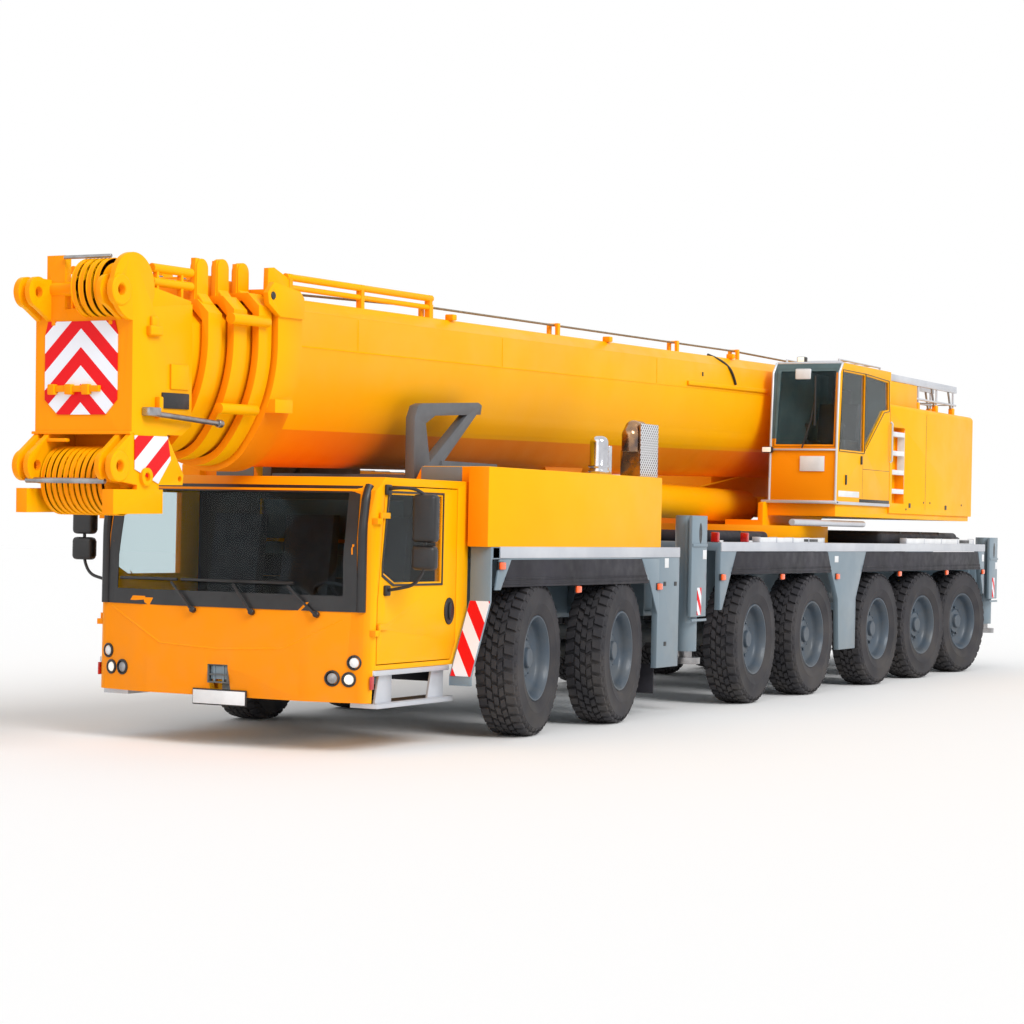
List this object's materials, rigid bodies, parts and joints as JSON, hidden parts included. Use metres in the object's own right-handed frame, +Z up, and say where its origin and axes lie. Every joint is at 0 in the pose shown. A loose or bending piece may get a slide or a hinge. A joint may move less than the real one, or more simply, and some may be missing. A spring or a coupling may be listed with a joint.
{
  "type": "seven-axle mobile crane",
  "caption": "All-terrain mobile crane with a driver's cab, a slewing superstructure with its own cab, a telescopic boom in its road stance, and four outriggers",
  "frame": {"origin": "middle of the machine's length and width, on the ground under its tyres", "axes": "+X forward along the chassis, +Y to the driver's left, +Z up"},
  "size_m": [18.9449, 3.4, 3.7903],
  "materials": {
    "yellow_paint": "semi-gloss",
    "chassis_grey": "semi-gloss",
    "deck_grey": "satin",
    "tyre_rubber": "matt",
    "tinted_glass": "clear, tinted",
    "dark_trim": "fine grain",
    "engine_grey": "bare casting",
    "cylinder_yellow": "semi-gloss",
    "hard_chrome": "polished"
  },
  "bodies": {
    "chassis": {"chassis_frame": "chassis_grey", "axle_beams": "chassis_grey", "deck_and_skirts": "deck_grey", "cab_shell": "yellow_paint", "cab_glass": "tinted_glass", "cab_interior": "dark_trim", "engine_cover": "yellow_paint", "engine_and_exhaust": "engine_grey", "boom_rest": "chassis_grey"},
    "door_left": {"cab_door_left": "yellow_paint", "door_glass_left": "tinted_glass"},
    "door_right": {"cab_door_right": "yellow_paint", "door_glass_right": "tinted_glass"},
    "wheel_1_left": {"wheel_1_left": "tyre_rubber"},
    "knuckle_1_left": {"knuckle_1_left": "chassis_grey"},
    "wheel_1_right": {"wheel_1_right": "tyre_rubber"},
    "knuckle_1_right": {"knuckle_1_right": "chassis_grey"},
    "wheel_2_left": {"wheel_2_left": "tyre_rubber"},
    "knuckle_2_left": {"knuckle_2_left": "chassis_grey"},
    "wheel_2_right": {"wheel_2_right": "tyre_rubber"},
    "knuckle_2_right": {"knuckle_2_right": "chassis_grey"},
    "wheel_3_left": {"wheel_3_left": "tyre_rubber"},
    "knuckle_3_left": {"knuckle_3_left": "chassis_grey"},
    "wheel_3_right": {"wheel_3_right": "tyre_rubber"},
    "knuckle_3_right": {"knuckle_3_right": "chassis_grey"},
    "wheel_4_left": {"wheel_4_left": "tyre_rubber"},
    "wheel_4_right": {"wheel_4_right": "tyre_rubber"},
    "wheel_5_left": {"wheel_5_left": "tyre_rubber"},
    "knuckle_5_left": {"knuckle_5_left": "chassis_grey"},
    "wheel_5_right": {"wheel_5_right": "tyre_rubber"},
    "knuckle_5_right": {"knuckle_5_right": "chassis_grey"},
    "wheel_6_left": {"wheel_6_left": "tyre_rubber"},
    "knuckle_6_left": {"knuckle_6_left": "chassis_grey"},
    "wheel_6_right": {"wheel_6_right": "tyre_rubber"},
    "knuckle_6_right": {"knuckle_6_right": "chassis_grey"},
    "wheel_7_left": {"wheel_7_left": "tyre_rubber"},
    "knuckle_7_left": {"knuckle_7_left": "chassis_grey"},
    "wheel_7_right": {"wheel_7_right": "tyre_rubber"},
    "knuckle_7_right": {"knuckle_7_right": "chassis_grey"},
    "superstructure": {"turntable": "yellow_paint", "rear_housing": "yellow_paint", "crane_cab_shell": "yellow_paint", "crane_cab_glass": "tinted_glass", "crane_cab_interior": "dark_trim"},
    "winch_drum": {"winch_drum": "yellow_paint"},
    "boom_base": {"boom_base": "yellow_paint"},
    "luff_barrel": {"luff_barrel": "cylinder_yellow"},
    "luff_rod": {"luff_rod": "hard_chrome"},
    "telescope_1": {"telescope_1": "yellow_paint"},
    "telescope_2": {"telescope_2": "yellow_paint"},
    "telescope_3": {"telescope_3": "yellow_paint"},
    "boom_head": {"boom_head": "yellow_paint"},
    "beam_front_left": {"beam_front_left": "deck_grey"},
    "jack_front_left": {"jack_front_left": "hard_chrome"},
    "beam_front_right": {"beam_front_right": "deck_grey"},
    "jack_front_right": {"jack_front_right": "hard_chrome"},
    "beam_rear_left": {"beam_rear_left": "deck_grey"},
    "jack_rear_left": {"jack_rear_left": "hard_chrome"},
    "beam_rear_right": {"beam_rear_right": "deck_grey"},
    "jack_rear_right": {"jack_rear_right": "hard_chrome"}
  },
  "joints": [
    {"name": "steer_1_left", "type": "hinge", "parent": "chassis", "child": "knuckle_1_left", "pos_m": [4.9, 1.19, 0.655], "axis": [0, 0, 1], "range_deg": [-43.9, 26.1]},
    {"name": "door_left_hinge", "type": "hinge", "parent": "chassis", "child": "door_left", "pos_m": [7.204, 1.295, 1.3], "axis": [0, 0, -1], "range_deg": [0, 75]},
    {"name": "door_right_hinge", "type": "hinge", "parent": "chassis", "child": "door_right", "pos_m": [7.204, -1.295, 1.3], "axis": [0, 0, 1], "range_deg": [0, 75]},
    {"name": "spin_1_left", "type": "hinge", "parent": "knuckle_1_left", "child": "wheel_1_left", "pos_m": [4.88221, 1.30361, 0.655], "axis": [-0.1547, 0.988, 0], "continuous": true},
    {"name": "steer_1_right", "type": "hinge", "parent": "chassis", "child": "knuckle_1_right", "pos_m": [4.9, -1.19, 0.655], "axis": [0, 0, 1], "range_deg": [-43.95, 26.15]},
    {"name": "spin_1_right", "type": "hinge", "parent": "knuckle_1_right", "child": "wheel_1_right", "pos_m": [4.91779, -1.30361, 0.655], "axis": [-0.1547, 0.988, 0], "continuous": true},
    {"name": "steer_2_left", "type": "hinge", "parent": "chassis", "child": "knuckle_2_left", "pos_m": [3.2, 1.19, 0.655], "axis": [0, 0, 1], "range_deg": [-39.51, 23.51]},
    {"name": "spin_2_left", "type": "hinge", "parent": "knuckle_2_left", "child": "wheel_2_left", "pos_m": [3.18399, 1.30388, 0.655], "axis": [-0.1392, 0.9903, 0], "continuous": true},
    {"name": "steer_2_right", "type": "hinge", "parent": "chassis", "child": "knuckle_2_right", "pos_m": [3.2, -1.19, 0.655], "axis": [0, 0, 1], "range_deg": [-39.51, 23.51]},
    {"name": "spin_2_right", "type": "hinge", "parent": "knuckle_2_right", "child": "wheel_2_right", "pos_m": [3.21601, -1.30388, 0.655], "axis": [-0.1392, 0.9903, 0], "continuous": true},
    {"name": "steer_3_left", "type": "hinge", "parent": "chassis", "child": "knuckle_3_left", "pos_m": [-0.08, 1.19, 0.655], "axis": [0, 0, 1], "range_deg": [-11.89, 7.09]},
    {"name": "spin_3_left", "type": "hinge", "parent": "knuckle_3_left", "child": "wheel_3_left", "pos_m": [-0.08482, 1.3049, 0.655], "axis": [-0.0419, 0.9991, 0], "continuous": true},
    {"name": "steer_3_right", "type": "hinge", "parent": "chassis", "child": "knuckle_3_right", "pos_m": [-0.08, -1.19, 0.655], "axis": [0, 0, 1], "range_deg": [-11.89, 7.09]},
    {"name": "spin_3_right", "type": "hinge", "parent": "knuckle_3_right", "child": "wheel_3_right", "pos_m": [-0.07518, -1.3049, 0.655], "axis": [-0.0419, 0.9991, 0], "continuous": true},
    {"name": "spin_4_left", "type": "hinge", "parent": "chassis", "child": "wheel_4_left", "pos_m": [-1.78, 1.305, 0.655], "axis": [0, 1, 0], "continuous": true},
    {"name": "spin_4_right", "type": "hinge", "parent": "chassis", "child": "wheel_4_right", "pos_m": [-1.78, -1.305, 0.655], "axis": [0, 1, 0], "continuous": true},
    {"name": "steer_5_left", "type": "hinge", "parent": "chassis", "child": "knuckle_5_left", "pos_m": [-3.995, 1.19, 0.655], "axis": [0, 0, 1], "range_deg": [-6.79, 11.39]},
    {"name": "spin_5_left", "type": "hinge", "parent": "knuckle_5_left", "child": "wheel_5_left", "pos_m": [-3.99038, 1.30491, 0.655], "axis": [0.0401, 0.9992, 0], "continuous": true},
    {"name": "steer_5_right", "type": "hinge", "parent": "chassis", "child": "knuckle_5_right", "pos_m": [-3.995, -1.19, 0.655], "axis": [0, 0, 1], "range_deg": [-6.79, 11.39]},
    {"name": "spin_5_right", "type": "hinge", "parent": "knuckle_5_right", "child": "wheel_5_right", "pos_m": [-3.99961, -1.30491, 0.655], "axis": [0.0401, 0.9992, 0], "continuous": true},
    {"name": "steer_6_left", "type": "hinge", "parent": "chassis", "child": "knuckle_6_left", "pos_m": [-5.695, 1.19, 0.655], "axis": [0, 0, 1], "range_deg": [-17.65, 29.65]},
    {"name": "spin_6_left", "type": "hinge", "parent": "knuckle_6_left", "child": "wheel_6_left", "pos_m": [-5.68298, 1.30437, 0.655], "axis": [0.1045, 0.9945, 0], "continuous": true},
    {"name": "steer_6_right", "type": "hinge", "parent": "chassis", "child": "knuckle_6_right", "pos_m": [-5.695, -1.19, 0.655], "axis": [0, 0, 1], "range_deg": [-17.65, 29.65]},
    {"name": "spin_6_right", "type": "hinge", "parent": "knuckle_6_right", "child": "wheel_6_right", "pos_m": [-5.70702, -1.30437, 0.655], "axis": [0.1045, 0.9945, 0], "continuous": true},
    {"name": "steer_7_left", "type": "hinge", "parent": "chassis", "child": "knuckle_7_left", "pos_m": [-7.395, 1.19, 0.655], "axis": [0, 0, 1], "range_deg": [-26.44, 44.44]},
    {"name": "spin_7_left", "type": "hinge", "parent": "knuckle_7_left", "child": "wheel_7_left", "pos_m": [-7.37701, 1.30358, 0.655], "axis": [0.1564, 0.9877, 0], "continuous": true},
    {"name": "steer_7_right", "type": "hinge", "parent": "chassis", "child": "knuckle_7_right", "pos_m": [-7.395, -1.19, 0.655], "axis": [0, 0, 1], "range_deg": [-26.44, 44.44]},
    {"name": "spin_7_right", "type": "hinge", "parent": "knuckle_7_right", "child": "wheel_7_right", "pos_m": [-7.41299, -1.30358, 0.655], "axis": [0.1564, 0.9877, 0], "continuous": true},
    {"name": "slew", "type": "hinge", "parent": "chassis", "child": "superstructure", "pos_m": [-2.89, 0, 1.645], "axis": [0, 0, 1], "continuous": true},
    {"name": "winch_turn", "type": "hinge", "parent": "superstructure", "child": "winch_drum", "pos_m": [-7.13, 0, 2.64], "axis": [0, 1, 0], "continuous": true},
    {"name": "luff", "type": "hinge", "parent": "superstructure", "child": "boom_base", "pos_m": [-5.9, 0, 2.85], "axis": [0, -1, 0], "range_deg": [0, 83.1]},
    {"name": "luff_barrel_swing", "type": "hinge", "parent": "superstructure", "child": "luff_barrel", "pos_m": [-3.5, 0, 2.045], "axis": [0, -1, 0], "range_deg": [-0.05, 94.32]},
    {"name": "luff_rod_slide", "type": "slide", "parent": "luff_barrel", "child": "luff_rod", "axis": [0.9999, 0, 0.0102], "range_m": [-0.002, 3.0906]},
    {"name": "extend_telescope_1", "type": "slide", "parent": "boom_base", "child": "telescope_1", "axis": [0.9998, 0, -0.0192], "range_m": [0, 11.1]},
    {"name": "extend_telescope_2", "type": "slide", "parent": "telescope_1", "child": "telescope_2", "axis": [0.9998, 0, -0.0192], "range_m": [0, 11.1]},
    {"name": "extend_telescope_3", "type": "slide", "parent": "telescope_2", "child": "telescope_3", "axis": [0.9998, 0, -0.0192], "range_m": [0, 11.1]},
    {"name": "extend_boom_head", "type": "slide", "parent": "telescope_3", "child": "boom_head", "axis": [0.9998, 0, -0.0192], "range_m": [0, 11.1]},
    {"name": "beam_front_left_slide", "type": "slide", "parent": "chassis", "child": "beam_front_left", "axis": [0, 1, 0], "range_m": [0, 1.9]},
    {"name": "jack_front_left_slide", "type": "slide", "parent": "beam_front_left", "child": "jack_front_left", "axis": [0, 0, -1], "range_m": [0, 0.65]},
    {"name": "beam_front_right_slide", "type": "slide", "parent": "chassis", "child": "beam_front_right", "axis": [0, -1, 0], "range_m": [0, 1.9]},
    {"name": "jack_front_right_slide", "type": "slide", "parent": "beam_front_right", "child": "jack_front_right", "axis": [0, 0, -1], "range_m": [0, 0.65]},
    {"name": "beam_rear_left_slide", "type": "slide", "parent": "chassis", "child": "beam_rear_left", "axis": [0, 1, 0], "range_m": [0, 1.9]},
    {"name": "jack_rear_left_slide", "type": "slide", "parent": "beam_rear_left", "child": "jack_rear_left", "axis": [0, 0, -1], "range_m": [0, 0.65]},
    {"name": "beam_rear_right_slide", "type": "slide", "parent": "chassis", "child": "beam_rear_right", "axis": [0, -1, 0], "range_m": [0, 1.9]},
    {"name": "jack_rear_right_slide", "type": "slide", "parent": "beam_rear_right", "child": "jack_rear_right", "axis": [0, 0, -1], "range_m": [0, 0.65]}
  ],
  "couplings": [
    {"joint": "steer_1_right", "follows": "steer_1_left", "ratio": 1},
    {"joint": "steer_2_left", "follows": "steer_1_left", "ratio": 0.8989},
    {"joint": "steer_2_right", "follows": "steer_1_left", "ratio": 0.8989},
    {"joint": "steer_3_left", "follows": "steer_1_left", "ratio": 0.2697},
    {"joint": "steer_3_right", "follows": "steer_1_left", "ratio": 0.2697},
    {"joint": "steer_5_left", "follows": "steer_1_left", "ratio": -0.2584},
    {"joint": "steer_5_right", "follows": "steer_1_left", "ratio": -0.2584},
    {"joint": "steer_6_left", "follows": "steer_1_left", "ratio": -0.6742},
    {"joint": "steer_6_right", "follows": "steer_1_left", "ratio": -0.6742},
    {"joint": "steer_7_left", "follows": "steer_1_left", "ratio": -1.0112},
    {"joint": "steer_7_right", "follows": "steer_1_left", "ratio": -1.0112},
    {"joint": "luff_barrel_swing", "follows": "luff", "ratio": 1.1344},
    {"joint": "luff_rod_slide", "follows": "luff", "m_per_rad": 2.1295}
  ]
}
